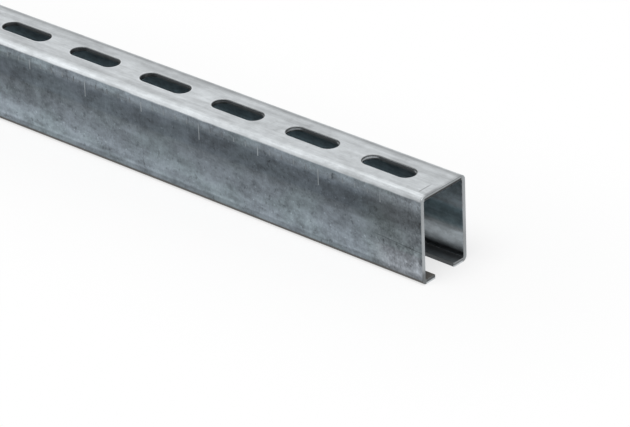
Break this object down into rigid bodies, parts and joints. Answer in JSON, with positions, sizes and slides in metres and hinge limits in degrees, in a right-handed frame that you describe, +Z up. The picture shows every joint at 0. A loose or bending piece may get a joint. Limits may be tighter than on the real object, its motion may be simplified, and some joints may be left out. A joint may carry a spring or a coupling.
{
  "type": "slotted steel mounting rail",
  "caption": "Galvanised steel mounting rail: a tall C section with lips turned in below and a row of long bolt slots along the web.",
  "frame": {"origin": "middle of the footprint, on the floor that the lips lie on", "axes": "+X along the rail to the end nearest the camera in the picture, +Z up to the slotted web, +Y across the rail"},
  "size_m": [2, 0.042, 0.06],
  "materials": {
    "galvanised_steel": "satin zinc coat"
  },
  "bodies": {
    "root": {"slotted_rail": "galvanised_steel"}
  },
  "joints": []
}
